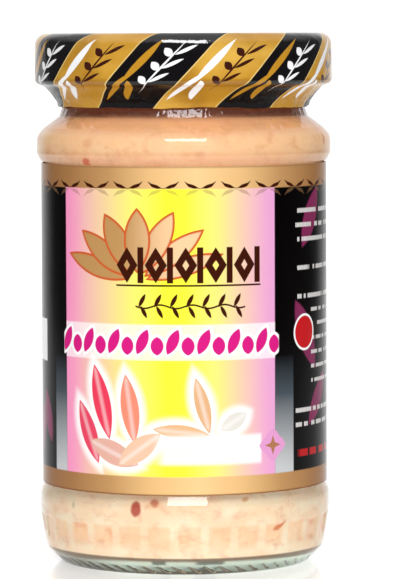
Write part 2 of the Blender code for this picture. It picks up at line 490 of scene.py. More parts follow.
glass = Finish("clear flint glass", IOR=1.52, Transmission_Weight=1.0)
# The scoops are tinted towards the paste's orange, most at their top edges: painted shade in the
# scoops, so that the ribs between them look lit.
scoop_shade = ribbing(glass.place)
tint = glass.mix(scoop_shade * (0.75 + glass.place.z.rise(5.0, 8.6) * 0.25), GLASS_CLEAR, GLASS_SCOOP_SHADE)
tint = glass.mix(glass.place.z.rise(3.2, 2.2), tint, GLASS_FOOT)
glass.link(Base_Color=tint)
rough, ripple = handled(glass, 0.0, 0.06)
glass.link(Roughness=rough)
at_neck = glass.place.z.near(76.0, 79.5, 0.8)
neck_ripple = glass.place.noise(0.6, 2.0, (1.0, 1.0, 0.6), 31.0) * at_neck
glass.bump(ripple * 0.12 + neck_ripple * 0.2)

# Light reaches the paste as if the glass weren't there, and the eye sees the glass bend it.
paths = add(glass.tree, "ShaderNodeLightPath")
shadow, diffuse = (
    Field(glass.tree, paths.outputs[name]) for name in ("Is Shadow Ray", "Is Diffuse Ray")
)
clear = add(glass.tree, "ShaderNodeBsdfTransparent")
links = {0: shadow.most(diffuse), 1: glass.shader.outputs["BSDF"], 2: clear.outputs["BSDF"]}
both = add(glass.tree, "ShaderNodeMixShader", links)
surface = glass.tree.nodes["Material Output"].inputs["Surface"]
glass.tree.links.new(both.outputs["Shader"], surface)

outer = filled_in(rounded(JAR_OUTSIDE), 0.26, 0.25, 9.2, 20.0)
outer = filled_in(outer, 0.4, 83.5, 88.3)
outer = filled_in(outer, 5.0)
shape = Shape(
    "blown_jar",
    outer + filled_in(rounded(jar_inside(), math.radians(10)), 5.0),
    GLASS_FLATS,
    glass.material,
    Scoop=0.3,
    Knurl=0.28,
    Ramp=1.2,
    Seam=0.05,
)
place = shape.place
knurl = (place.angle * (KNURLS / (2 * math.pi)) + place.z * KNURL_SLANT).fraction()
knurl = abs(knurl - 0.5).rise(0.15, 0.03) * place.z.near(KNURL_LOW, KNURL_HIGH, 0.25)
knurl = knurl * place.radius.rise(20.5, 21.2)
quarter = (place.angle * (RAMPS / (2 * math.pi))).fraction() * (360.0 / RAMPS)
middle = quarter * (RAMP_RISE / RAMP_ARC) + RAMP_LOW_Z
ends = quarter.rise(0.0, RAMP_RUN_OUT) * quarter.rise(RAMP_ARC, RAMP_ARC - RAMP_RUN_OUT)
ramp = abs(place.z - middle).rise(0.60, 0.35) * ends * place.radius.rise(21.6, 22.0)
seam = (abs(abs(place.angle) - math.pi / 2) * ARC_RADIUS).rise(SEAM_HALF_WIDTH, 0.0)
seam = seam * place.z.near(3.0, 75.5, 0.5) * place.radius.rise(*OUTER_SKIN)
relief = ramp * shape.size("Ramp") + seam * shape.size("Seam")
relief = relief - ribbing(place) * shape.size("Scoop") - knurl * shape.size("Knurl")
shape.push(relief)
jar = shape.made()
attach(jar, "jar")
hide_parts("glass_jar")


# Crushed galangal: peeled root milled to a soft, moist paste with fibres and darker flecks in it.
# It is filled hot up into the neck, so it wets the whole wall of the glass and is heaped on top.

PASTE_TOP_Z = 82.6
WETTING = 0.1
PASTE_FLATS = 256
PASTE_LIGHT = colour(255, 236, 206)
PASTE_MIDDLE = colour(255, 217, 180)
PASTE_WARM = colour(254, 194, 138)
PASTE_SALMON = colour(250, 176, 124)
PASTE_UPPER_SHADE = colour(240, 172, 122)
PASTE_NECK_SHADE = colour(148, 74, 40)
PASTE_SMUDGE = colour(226, 150, 104)
FIBRE = colour(205, 140, 92)
CRUMB = colour(196, 116, 70)
PASTE_SHADE = colour(96, 76, 52)
PASTE_DASH_SHADE = colour(44, 30, 18)
PASTE_UNDERSIDE_LIGHT = colour(226, 232, 214)
# (angle in degrees, height, half length, half width, turn, colour)
FLECKS = (
    (-20.6, 11.3, 1.3, 1.0, 80.0, colour(176, 44, 20)),
    (-12.6, 12.3, 0.8, 0.65, 0.0, colour(206, 120, 84)),
    (42.0, 7.9, 1.3, 0.6, 24.0, colour(222, 132, 70)),
    (44.6, 8.3, 0.9, 0.5, 36.0, colour(214, 120, 66)),
    (-43.5, 70.0, 0.9, 0.7, 10.0, colour(222, 92, 40)),
    (-52.5, 11.2, 0.6, 0.45, 60.0, colour(216, 190, 150)),
    (25.6, 12.6, 0.8, 0.45, 10.0, colour(226, 176, 120)),
    (150.0, 12.0, 0.9, 0.6, 20.0, colour(180, 70, 34)),
    (-120.0, 72.0, 0.8, 0.5, 50.0, colour(200, 100, 50)),
    (100.0, 10.0, 0.8, 0.6, 30.0, colour(190, 90, 44)),
    (-160.0, 8.0, 0.6, 0.5, 30.0, colour(206, 110, 60)),
    (75.0, 72.5, 0.6, 0.5, 80.0, colour(214, 124, 70)),
)
LEAF_INPUTS = ("Across", "Up", "Middle Across", "Middle Up", "Half Length", "Half Width", "Turn")


def leaf_group():
    """How far inside a pointed leaf a spot is, in millimetres. One as wide as long is a disc."""
    tree, given, result = new_tree(
        "leaf",
        "ShaderNodeTree",
        {name: "NodeSocketFloat" for name in LEAF_INPUTS},
        {"Inside": "NodeSocketFloat", "Beside": "NodeSocketFloat"},
    )
    across, up, middle_across, middle_up, long, wide, turn = (
        Field(tree, given.outputs[name]) for name in LEAF_INPUTS
    )
    angle = turn * math.radians(1)
    cosine, sine = angle.math("COSINE"), angle.math("SINE")
    across, up = across - middle_across, up - middle_up
    along = across * cosine + up * sine
    beside = abs(up * cosine - across * sine)
    reach = (long * long + wide * wide) / (wide * 2.0)
    inside = reach - hypotenuse(along, beside + reach - wide)
    tree.links.new(inside.socket, result.inputs["Inside"])
    tree.links.new(beside.socket, result.inputs["Beside"])
    return tree


leaf_tree = leaf_group()


def leaf(across, up, at, half_length, half_width, turn=0.0):
    """How far inside a leaf a spot is, and how far beside its midline."""
    links = dict(zip(LEAF_INPUTS, (across, up, *at, half_length, half_width, turn)))
    node = add(across.tree, "ShaderNodeGroup", links, node_tree=leaf_tree)
    return [Field(across.tree, node.outputs[name]) for name in ("Inside", "Beside")]


paste = Finish(
    "moist galangal paste",
    Roughness=0.5,
    Subsurface_Weight=0.35,
    Subsurface_Radius=(1.0, 0.5, 0.25),
    Subsurface_Scale=0.0015,
    Specular_IOR_Level=0.2,
)
place = paste.place
cloud = place.noise(0.16, 4.0, (1.0, 1.0, 1.6)).rise(-0.35, 0.45)
mottle = place.noise(0.38, 3.0, (1.0, 1.0, 1.5), 3.0).rise(0.0, 0.5)
fibre = abs(place.noise(0.4, 3.0, (1.0, 1.0, 2.4), 7.0)).rise(0.05, 0.0)
fibre = fibre * place.noise(0.3, seed=11.0).rise(0.0, 0.4)
body = paste.mix(cloud, PASTE_MIDDLE, PASTE_LIGHT)

# It gets warmer up to the shoulder, with a salmon ring there. Above that it is painted darker
# towards the neck and dark brown inside it: painted shade under the sleeve and the lid.
body = paste.mix(place.z.rise(62.0, 74.0) * 0.75, body, PASTE_WARM)
body = paste.mix(place.z.near(69.0, 71.0, 0.9) * 0.55, body, PASTE_SALMON)
body = paste.mix(place.z.rise(72.6, 75.0) * 0.8, body, PASTE_UPPER_SHADE)
body = paste.mix(place.z.rise(75.4, 77.6), body, PASTE_NECK_SHADE)

# Smudges, fibres, crumbs and the single flecks.
body = paste.mix(mottle * 0.45, body, PASTE_SMUDGE)
body = paste.mix(fibre * 0.25, body, FIBRE)
crumb = place.noise(0.8, 1.0, seed=19.0).rise(0.5, 0.62)
body = paste.mix(crumb * 0.65, body, CRUMB)
wobble = place.noise(1.1, 2.0, seed=23.0) * 0.15
across = place.angle * ARC_RADIUS + wobble
for turn, height, half_length, half_width, slant, tone in FLECKS:
    middle = (math.radians(turn) * ARC_RADIUS, height)
    fleck, _ = leaf(across, place.z + wobble, middle, half_length, half_width, slant)
    body = paste.mix(fleck.rise(-0.2, 0.35) * 0.9, body, tone)

# The paste's bottom shows above the glass's foot. Along its edge runs a band of painted shade.
# Below that it is painted pale, a painted light that stands in for the lit table seen through the
# foot. This pale turns to painted shade at the left, with two dark dashes of painted shade in it.
turn = place.angle * math.degrees(1)
underside_light_and_shade = paste.mix(turn.rise(-25.0, -60.0) * 0.8, PASTE_UNDERSIDE_LIGHT, PASTE_SHADE)
body = paste.mix(place.z.rise(3.4, 3.1) * 0.85, body, PASTE_SHADE)
body = paste.mix(place.z.rise(2.95, 2.75), body, underside_light_and_shade)
shade_dashes = turn.near(-14.5, -8.5, 1.0).most(turn.near(4.5, 17.0, 1.5))
body = paste.mix(shade_dashes * place.z.near(2.55, 2.9, 0.1) * 0.75, body, PASTE_DASH_SHADE)
paste.link(Base_Color=body)
paste.bump(place.noise(0.8, 4.0, seed=5.0) * 0.12 + place.noise(3.0, 2.0, seed=9.0) * 0.03)

wall = [point for point in rounded(jar_inside(-WETTING)) if point.y < PASTE_TOP_Z - 1.0]
top = [
    Vector((0.0, PASTE_TOP_Z + 0.5)),
    Vector((0.6 * wall[0].x, PASTE_TOP_Z + 0.3)),
    Vector((wall[0].x - 1.0, PASTE_TOP_Z)),
    Vector((wall[0].x, PASTE_TOP_Z - 0.9)),
]
profile = filled_in(top + wall, 1.2)
shape = Shape("crushed_galangal", profile, PASTE_FLATS, paste.material, Lump=0.3, Seed=0.0)
place = shape.place
on_top = place.z.rise(81.0, 82.2) * place.radius.rise(18.8, 17.0)
shape.push(0.0, place.noise(0.35, 3.0) * shape.size("Lump") * on_top)
contents = shape.made()
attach(contents, "jar")
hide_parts("galangal_paste")


# Label: coated paper, printed and film-laminated, wrapped round the panel with a gap at the back.
# A gold band runs along its top, with a winged edging, and a plain one along its bottom. The front
# is shaded from pink through yellow to lilac, and the rest is black with small print.

LABEL_LOW, LABEL_HIGH = (corner.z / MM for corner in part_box("paper_label"))
LABEL_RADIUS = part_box("paper_label")[1].x / MM
LABEL_THICKNESS = 0.2
LABEL_GAP = math.radians(12.0)
LABEL_COLUMNS, LABEL_ROWS = 320, 40
FRONT_START, FRONT_END = -54.1, 38.2
STRIP_START, STRIP_END = -62.6, 48.3
PRINT_START, PRINT_END = 49.8, 86.0
ROW_PITCH = 2.42
RED_ROW_Z = 20.0
WORDS_PER_MM = 1.6
LETTERS_PER_MM = 2.4
LOTUS = (-8.0, 49.6)
LOTUS_SPREAD = (90.0, 118.0, 62.0, 142.0, 38.0, 162.0, 18.0)
BOLD_Z = 52.5
BOLD_START, BOLD_END = -11.8, 13.4
BOLD_PITCH = 5.04
VINE_Z = 45.6
VINE_START, VINE_END = -8.3, 10.5
VINE_PITCH = 2.7
DROPS_START, DROPS_END = -23.9, 17.25
DROPS_PITCH = 5.2
ROSETTE = (15.9, 21.9)
BAND_LOW_Z = 65.2
BAND_HIGH_Z = 17.2
WING_PITCH = 14.4
WING_TURN = 6.4
WING_REACH = 2.65
BAND_LIGHT_TURN = 5.0
INK_DARK = colour(62, 22, 10)
INK_BLACK = colour(4, 2, 2)
INK_WHITE = colour(255, 255, 255)
INK_MAGENTA = colour(215, 30, 130)
INK_TAN = colour(190, 145, 90)
INK_RUST = colour(205, 90, 45)
INK_RED = colour(200, 25, 30)
INK_PEACH = colour(248, 205, 158)
INK_WING = colour(140, 104, 70)
FRONT_SHADES = (
    (-54.5, colour(252, 150, 200)),
    (-48.0, colour(250, 165, 195)),
    (-42.3, colour(244, 188, 182)),
    (-32.3, colour(243, 212, 156)),
    (-21.3, colour(246, 236, 118)),
    (-7.2, colour(255, 255, 60)),
    (0.5, colour(255, 255, 66)),
    (14.2, colour(244, 230, 132)),
    (22.4, colour(242, 204, 172)),
    (33.6, colour(236, 170, 208)),
    (38.2, colour(234, 165, 214)),
)
# A painted sheen on the gold bands: their colour by degrees away from BAND_LIGHT_TURN.
BAND_SHEEN_SHADES = (
    (0.0, colour(246, 204, 144)),
    (18.0, colour(230, 186, 126)),
    (36.0, colour(192, 146, 94)),
    (56.0, colour(168, 120, 74)),
    (75.0, colour(152, 106, 64)),
    (180.0, colour(172, 127, 80)),
)


def shaded(finish, value, shades):
    """A colour that runs through shades, each of (value, colour)."""
    start, end = shades[0][0], shades[-1][0]
    ramp = add(finish.tree, "ShaderNodeValToRGB")
    finish.tree.links.new(((value - start) / (end - start)).socket, ramp.inputs[0])
    stops = ramp.color_ramp.elements
    for at, tone in shades[1:-1]:
        stops.new((at - start) / (end - start)).color = tone
    stops[0].color = shades[0][1]
    stops[-1].color = shades[-1][1]
    return ramp.outputs["Color"]


class Printed(Finish):
    """A printed finish, whose inks are laid one over another."""

    def ink(self, mask, tone):
        self.sheet = self.mix(mask, self.sheet, tone)

    def leaves(self, across, up, leaves):
        """A mask of leaves, each of (across, up, half length, half width, turn)."""
        inside = None
        for x, y, half_length, half_width, turn in leaves:
            one, _ = leaf(across, up, (x, y), half_length, half_width, turn)
            inside = one if inside is None else inside.most(one)
        return inside


label = Printed("laminated label print", IOR=1.45, Specular_IOR_Level=0.12)
place = label.place
turn = place.angle * math.degrees(1)
across = place.angle * LABEL_RADIUS
up = place.z
front = turn.near(FRONT_START, FRONT_END, 0.25)
label.sheet = label.mix(front, INK_BLACK, shaded(label, turn, FRONT_SHADES))

# The strips beside the front fade from black to light grey towards their foot.
fade = [(18.0, colour(200, 202, 204)), (30.5, colour(70, 80, 88)), (37.0, INK_BLACK)]
strips = turn.near(STRIP_START, FRONT_START, 0.3).most(turn.near(FRONT_END, STRIP_END, 0.3))
label.ink(strips, shaded(label, up, fade))

# Small print on the black panels: rows of dashes, and faint large leaves behind them.
panels = 1.0 - turn.near(STRIP_START, STRIP_END, 0.3)
ghosts = label.leaves(
    across,
    up,
    (
        (26.0, 60.0, 6.0, 2.2, 62.0),
        (24.5, 40.0, 7.0, 2.4, 118.0),
        (29.0, 29.0, 6.0, 2.0, 50.0),
        (-34.0, 24.0, 5.5, 2.0, 65.0),
        (-30.5, 26.0, 5.0, 1.8, 110.0),
        (52.0, 48.0, 8.0, 3.0, 70.0),
        (-56.0, 50.0, 8.0, 3.0, 110.0),
    ),
)
label.ink(ghosts.rise(-0.1, 0.4) * panels * 0.75, colour(150, 50, 100))
level = (up - RED_ROW_Z) / ROW_PITCH + 0.5
row = abs(level.fraction() - 0.5) * ROW_PITCH
word = combined(
    label.tree, (across * WORDS_PER_MM).math("FLOOR"), level.math("FLOOR"), 4.0
)
chance = add(label.tree, "ShaderNodeTexWhiteNoise", {"Vector": word})
dash = Field(label.tree, chance.outputs["Value"]).rise(0.2, 0.22)
dash = dash * (0.55 + abs((across * LETTERS_PER_MM).fraction() - 0.5).rise(0.42, 0.3) * 0.45)
far = turn.near(96.0, 150.0, 0.2).most(turn.near(-168.0, -100.0, 0.2))
large = up.near(55.1, 62.3, 0.1).most(up.near(50.3, 52.7, 0.1)).most(up.near(45.4, 47.8, 0.1))
large = large.most(up.near(23.6, 28.5, 0.1)) * turn.near(PRINT_START, PRINT_END, 0.2).most(far)
small = up.near(30.9, 45.4, 0.1) * turn.near(61.0, PRINT_END, 0.2).most(far)
print_rows = (large * row.rise(0.46, 0.28)).most(small * row.rise(0.4, 0.22))
label.ink(dash * print_rows, colour(225, 222, 220))
red_row = up.near(18.8, 21.2, 0.1) * turn.near(PRINT_START, PRINT_END, 0.2) * row.rise(0.7, 0.5)
label.ink(dash * red_row, INK_RED)

# A roundel and a plain white panel stand among the rows.
roundel, _ = leaf(across, up, (24.0, 40.5), 2.75, 2.75)
label.ink(roundel.rise(-0.45, -0.32), INK_WHITE)
label.ink(roundel.rise(-0.06, 0.06), INK_RED)
label.ink(turn.near(-86.0, -72.5, 0.3) * up.near(35.2, 42.4, 0.1), INK_WHITE)

# The front's upper ornament: a lotus of tan petals with rust edges, and over it a bold row of
# dark lozenges and bars, a thin rule and a row of small leaves on a stem.
tan = label.mix(across.rise(-12.0, 0.0), INK_TAN, INK_PEACH)
for order, spread in reversed(list(enumerate(LOTUS_SPREAD))):
    half_length = 5.4 + 0.25 * order
    slope = math.radians(spread)
    middle = Vector(LOTUS) + Vector((math.cos(slope), math.sin(slope))) * (half_length + 1.6)
    inside, _ = leaf(across, up, middle, half_length, 2.3 - 0.12 * order, spread)
    label.ink(inside.rise(-0.10, 0.02), INK_RUST)
    label.ink(inside.rise(0.16, 0.5), tan)


def lozenge(across, up, at, half_length, half_height):
    """How far inside a lozenge a spot is."""
    slope = math.hypot(half_length, half_height) / (half_length * half_height)
    inside = 1.0 - abs(across - at[0]) / half_length - abs(up - at[1]) / half_height
    return inside / slope


cell = ((across - BOLD_START) / BOLD_PITCH).fraction() * BOLD_PITCH
mask = lozenge(cell, up, (2.0, BOLD_Z), 1.9, 3.0).most(0.52 - abs(cell - 4.4))
hollow = lozenge(cell, up, (2.0, BOLD_Z), 0.55, 0.9).rise(-0.05, 0.05)
bold = mask.rise(-0.06, 0.06) * (1.0 - hollow) * up.near(BOLD_Z - 3.0, BOLD_Z + 3.0, 0.08)
label.ink(bold * across.near(BOLD_START, BOLD_END, 0.05), INK_DARK)
label.ink(across.near(BOLD_START, BOLD_END, 0.1) * up.near(48.95, 49.25, 0.06), INK_DARK)
cell = ((across + 8.4) / VINE_PITCH).fraction() * VINE_PITCH - VINE_PITCH / 2
pair = ((-0.1, VINE_Z + 1.0, 1.3, 0.36, 62.0), (0.2, VINE_Z - 0.9, 1.2, 0.34, 118.0))
vine = label.leaves(cell, up, pair)
stem = abs(up - VINE_Z - (across * 1.16).math("SINE") * 0.3)
vine = vine.rise(-0.06, 0.06).most(stem.rise(0.2, 0.1))
label.ink(vine * across.near(VINE_START, VINE_END, 0.05), INK_DARK)

# Below it: a white ribbon with magenta drops, a sprig, and a plain ribbon with a rosette.
label.ink(front * up.near(36.6, 42.6, 0.15) * 0.62, INK_WHITE)
cell = ((across + 24.0) / DROPS_PITCH).fraction() * DROPS_PITCH
drops = label.leaves(cell, up, ((1.25, 39.7, 2.3, 0.95, 66.0), (3.8, 39.0, 1.55, 1.1, 90.0)))
within = across.near(DROPS_START, DROPS_END, 0.1)
label.ink(drops.rise(-0.55, -0.42) * within, INK_WHITE)
label.ink(drops.rise(-0.05, 0.05) * within, INK_MAGENTA)
sprig = (
    (-14.8, 29.4, 6.4, 1.7, 104.0, colour(236, 62, 92)),
    (-17.6, 24.2, 5.6, 1.6, 112.0, colour(232, 70, 100)),
    (-9.4, 28.4, 5.8, 1.6, 98.0, colour(240, 142, 116)),
    (-12.6, 20.9, 5.0, 1.9, 158.0, colour(228, 176, 160)),
    (-7.8, 21.6, 4.6, 1.8, 36.0, colour(238, 196, 166)),
    (-0.6, 24.6, 4.8, 1.2, 174.0, colour(232, 184, 138)),
    (3.0, 29.0, 4.8, 1.2, 104.0, colour(226, 176, 130)),
    (8.4, 26.2, 2.6, 1.3, 30.0, colour(226, 222, 214)),
)
halo = label.leaves(across, up, [one[:5] for one in sprig])
label.ink(halo.rise(-1.9, -0.3) * 0.9 * front, INK_WHITE)
for x, y, half_length, half_width, slant, tone in sprig:
    inside, beside = leaf(across, up, (x, y), half_length, half_width, slant)
    label.ink(inside.rise(-0.08, 0.04), tone)
    label.ink(inside.rise(0.1, 0.3) * beside.rise(0.7, 0.0) * 0.35, INK_WHITE)
ribbon = across.rise(-5.6, -3.0) * across.rise(13.8, 13.2) * up.near(19.1, 24.0, 0.45)
label.ink(ribbon * 0.82, INK_WHITE)
rosette = label.leaves(across, up, ((*ROSETTE, 2.8, 1.8, 0.0), (*ROSETTE, 2.8, 1.8, 90.0)))
label.ink(rosette.rise(-0.05, 0.1), colour(228, 158, 208))
star = lozenge(across, up, ROSETTE, 0.6, 1.7).most(lozenge(across, up, ROSETTE, 1.7, 0.6))
label.ink(star.rise(-0.05, 0.08), colour(176, 118, 82))

# The gold bands, and the upper one's edging of dark wings with fainter ones mirrored below it. The
# bands' gold is painted lightest near the front and darker round the sides, a painted sheen of the
# gold ink.
gold = shaded(label, abs(turn - BAND_LIGHT_TURN), BAND_SHEEN_SHADES)
local = ((turn - WING_TURN) / WING_PITCH + 0.5).fraction() - 0.5
beside = abs(local) * (WING_PITCH * LABEL_RADIUS * math.radians(1))


def wings(out, height):
    """How far inside a pair of wings a spot is. out runs from 0 at their middle to 1 at a tip."""
    middle = out * 0.78 + out.rise(0.7, 1.05) * 0.42
    brush = out.rise(0.05, 0.45) * out.rise(1.05, 0.65) * 0.25 + 0.05
    return brush - abs(height - middle)


edge = up - BAND_LOW_Z
top_band = edge.rise(-0.12, 0.12)
bottom_band = up.rise(BAND_HIGH_Z, BAND_HIGH_Z - 0.25)
label.ink(top_band.most(bottom_band), gold)
out = beside / WING_REACH
for height, share, tone in (
    (edge - 0.05, 1.0, INK_DARK),
    (-edge - 0.12, 0.42, INK_WING),
):
    inside = wings(out, height).rise(-0.07, 0.07) * out.rise(1.02, 0.97)
    label.ink(inside * share, tone)
label.ink(up.rise(14.25, 14.0) * 0.8, colour(120, 70, 40))
label.ink(up.rise(68.5, 68.8) * 0.5, colour(150, 105, 70))
label.link(Base_Color=label.sheet)
rough, ripple = handled(label, 0.15, 0.24)
label.link(Roughness=rough)
label.bump(ripple * 0.05 + place.noise(6.0, 2.0) * 0.004)

sizes = {
    "Radius": LABEL_RADIUS,
    "Thickness": LABEL_THICKNESS,
    "Low": LABEL_LOW,
    "High": LABEL_HIGH,
    "Gap": LABEL_GAP,
}
kinds = {name: "NodeSocketFloat" for name in sizes}
tree, given, result = new_tree(
    "label shape",
    "GeometryNodeTree",
    {"Profile": "NodeSocketGeometry", **kinds, "Finish": "NodeSocketMaterial"},
    {"Geometry": "NodeSocketGeometry"},
)
radius, thickness, low, high, gap = (Field(tree, given.outputs[name]) for name in sizes)
links = {"Size": (1.0,) * 3, "Vertices X": LABEL_COLUMNS, "Vertices Y": 2, "Vertices Z": LABEL_ROWS}
block = add(tree, "GeometryNodeMeshCube", links)
x, y, z = parted(tree, add(tree, "GeometryNodeInputPosition").outputs["Position"])
angle = x * (2 * math.pi - gap)
reach = radius - (y + 0.5) * thickness
level = low + (high - low) * (z + 0.5)
wrapped = combined(tree, reach * angle.math("SINE"), -(reach * angle.math("COSINE")), level)
links = {"Geometry": block.outputs["Mesh"], "Position": stretched(tree, wrapped, (MM,) * 3)}
moved = add(tree, "GeometryNodeSetPosition", links)
end_tree(tree, moved.outputs["Geometry"], given.outputs["Finish"], result)
sizes["Finish"] = label.material
wrap = run("wrap_label", tree, sizes, bpy.data.meshes.new("label start"))
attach(wrap, "jar")
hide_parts("paper_label")


# Lid: tinplate, lacquered gold, pressed with a safety button and a channel for the gasket. Its
# edge is curled under, and four lugs are pressed inwards from the curl to hook under the ramps.

LID_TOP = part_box("lid_shell")[1].z / MM
LID_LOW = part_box("lid_shell")[0].z / MM
LID_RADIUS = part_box("lid_shell")[1].x / MM
TINPLATE = 0.3
CURL_RADIUS = 0.55
CURL_STEPS = 12
LUG_ARC = (6.0, 16.0)
LUG_HEIGHTS = (83.2, 83.75)
LID_FLATS = 360
skirt = LID_RADIUS - 0.3
panel = LID_TOP - 0.6
LACQUER = colour(214, 165, 62)

tin = Finish("gold lacquered tinplate", Base_Color=LACQUER, Metallic=1.0)
rough, ripple = handled(tin, 0.22, 0.36)
tin.link(Roughness=rough)
tin.bump(ripple * 0.1 + tin.place.noise(2.5, 2.0, (1.0, 6.0, 1.0)) * 0.006)

lid_outside = rounded(
    (
        (0.0, panel - 0.1),
        (8.8, panel + 0.1, 1.0),
        (9.5, panel + 0.3, 0.5),
        (10.3, panel, 1.0),
        (18.7, panel, 0.5),
        (19.4, LID_TOP, 0.5),
        (skirt, LID_TOP, 1.1),
        (skirt, LID_LOW + 2 * CURL_RADIUS),
    )
)
curl_centre = Vector((LID_RADIUS - CURL_RADIUS, LID_LOW + CURL_RADIUS))
curl = []
for step in range(CURL_STEPS + 1):
    bend = math.radians(-180.0 / CURL_STEPS * step)
    curl.append(curl_centre + Vector((math.cos(bend), math.sin(bend))) * CURL_RADIUS)
bore = skirt - TINPLATE
lid_inside = [
    Vector((bore, LID_LOW + 2 * CURL_RADIUS)),
    Vector((bore, LID_TOP - TINPLATE - 0.5)),
    Vector((bore - 0.5, LID_TOP - TINPLATE)),
]
under = [point - Vector((0.0, TINPLATE)) for point in lid_outside if point.x < 19.5]
profile = lid_outside + curl + filled_in(curl[-1:] + lid_inside, 0.12, 0.0, 84.2)[1:] + under[::-1]
shape = Shape("twist_lid", filled_in(profile, 1.5), LID_FLATS, tin.material, Lug=1.45)
place = shape.place
quarter = (place.angle * (RAMPS / (2 * math.pi))).fraction() * (360.0 / RAMPS)
lug = quarter.near(*LUG_ARC, 1.0) * place.z.near(*LUG_HEIGHTS, 0.08)
shape.push(-(lug * shape.size("Lug") * place.radius.rise(24.6, 24.1)))
lid = shape.made()
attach(lid, "lid")
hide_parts("lid_shell")


# Gasket: off-white sealing compound, flowed into the lid's channel and cured as a soft ring.
# It stays in the lid, and seals on the rim of the glass.

GASKET_LOW, GASKET_HIGH = (corner.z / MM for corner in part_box("lid_gasket"))
GASKET_INNER = 19.8
GASKET_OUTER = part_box("lid_gasket")[1].x / MM
GASKET_FLATS = 180
COMPOUND = colour(238, 236, 226)

compound = Finish("sealing compound", Base_Color=COMPOUND, Roughness=0.55)
compound.bump(compound.place.noise(1.4, 3.0) * 0.06)

profile = rounded(
    (
        (GASKET_INNER + 2.0, GASKET_HIGH),
        (GASKET_OUTER, GASKET_HIGH, 0.35),
        (GASKET_OUTER, GASKET_LOW, 0.15),
        (GASKET_INNER, GASKET_LOW, 0.15),
        (GASKET_INNER, GASKET_HIGH, 0.35),
        (GASKET_INNER + 2.0, GASKET_HIGH),
    )
)
shape = Shape("sealing_ring", profile, GASKET_FLATS, compound.material)
gasket = shape.made()
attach(gasket, "lid")
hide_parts("lid_gasket")


# Shrink sleeve: clear film printed inside with slanted gold and black stripes, slipped over the
# closed lid as a tube and shrunk on with hot air. It grips the lid's rim and puckers on the neck.

SLEEVE_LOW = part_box("shrink_sleeve")[0].z / MM
SLEEVE_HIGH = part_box("shrink_sleeve")[1].z / MM
SLEEVE_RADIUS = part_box("shrink_sleeve")[1].x / MM
FILM = 0.2
SLEEVE_FLATS = 420
STRIPE_PAIRS = 6
GOLD_MIDDLE = math.radians(16.3)
STRIPE_MIDDLE_Z = 85.2
STRIPE_CLIMB = 26.0
FILM_STRETCH = 4.6
BLACK_EDGE = 0.254
STRIPE_WIDTH = math.radians(360.0 / STRIPE_PAIRS) * SLEEVE_RADIUS
SPRIG_Z = 85.4
FILM_GOLD = colour(196, 141, 38)
FILM_GOLD_SHADE = colour(160, 108, 24)
FILM_GOLD_SHEEN = colour(228, 180, 78)
FILM_GOLD_EDGE = colour(236, 206, 130)
FILM_BLACK = colour(12, 9, 12)

film = Printed("printed shrink film", IOR=1.5)
place = film.place
lip = (SLEEVE_RADIUS - place.radius) * place.z.rise(88.0, 90.0)
taper = (SLEEVE_RADIUS - place.radius) * place.z.rise(83.0, 81.0)
along = place.z + lip - taper * 0.2 - STRIPE_MIDDLE_Z
swing = place.angle - GOLD_MIDDLE
turn = swing * math.degrees(1) + swing.math("SINE") * FILM_STRETCH
sway = place.noise(0.045, 1.0, seed=12.0) * 0.03
phase = turn / (360.0 / STRIPE_PAIRS) - along / STRIPE_CLIMB + 0.5 + sway
band = abs((phase + 0.5).fraction() - 0.5)
black = band.rise(BLACK_EDGE, BLACK_EDGE - 0.008)
# The gold is painted paler and deeper in soft patches: painted reflections of the studio on the
# glossy gold film.
shine = place.noise(0.08, 2.0, (1.0, 1.0, 2.5)).rise(-0.5, 0.6)
sheen_dimming = place.noise(0.13, 2.0, (1.0, 1.0, 0.6), 21.0).rise(-0.05, 0.55)
film.sheet = film.mix(shine, FILM_GOLD, FILM_GOLD_SHEEN)
film.sheet = film.mix(sheen_dimming * 0.7, film.sheet, FILM_GOLD_SHADE)
# A painted shade line in the crease where the film turns in under the lid's curl.
film.sheet = film.mix(place.z.near(82.2, 83.4, 0.4) * 0.7, film.sheet, FILM_GOLD_SHADE)
film.ink(black, FILM_BLACK)
film.ink(abs(band - BLACK_EDGE).rise(0.007, 0.003), FILM_GOLD_EDGE)

# Sprigs in white and dark brown on the gold, and in gold and white on the black.
beside_black = ((phase + 0.5).fraction() - 0.5) * STRIPE_WIDTH
beside_gold = (phase.fraction() - 0.5) * STRIPE_WIDTH
PLUME = (
    (-3.4, 1.0, 3.7, 0.95, 86.0),
    (-4.6, -3.3, 2.3, 0.7, 70.0),
    (-1.6, -3.8, 2.0, 0.75, 128.0),
)
TWIG = (
    (1.3, 0.2, 4.3, 0.24, 88.0),
    (0.1, 2.5, 1.5, 0.45, 152.0),
    (2.9, 2.9, 1.5, 0.45, 32.0),
    (0.0, 0.2, 1.5, 0.45, 152.0),
    (2.7, 0.6, 1.5, 0.45, 32.0),
    (-0.1, -2.1, 1.4, 0.42, 152.0),
    (2.5, -1.7, 1.4, 0.42, 32.0),
)
upright = place.z - SPRIG_Z
for beside, plume, twig, gate in (
    (beside_gold, INK_WHITE, INK_DARK, 1.0 - black),
    (beside_black, FILM_GOLD, INK_WHITE, black),
):
    film.ink(film.leaves(beside, upright, PLUME).rise(-0.06, 0.06) * gate, plume)
    film.ink(film.leaves(beside, upright, TWIG).rise(-0.05, 0.05) * gate, twig)
film.link(Base_Color=film.sheet)
rough, ripple = handled(film, 0.08, 0.22)
gloss = place.z.rise(81.0, 83.5) * 0.4 + place.z.rise(87.6, 89.0) * 0.6 + 0.12
film.link(Roughness=rough, Specular_IOR_Level=gloss)
pucker = place.z.rise(83.5, 80.0)
crinkle = place.noise(0.5, 3.0, (1.0, 1.0, 0.35), 4.0) * pucker
film.bump(ripple * 0.15 + crinkle * 0.3 + place.noise(0.35, 3.0, seed=8.0) * 0.08)

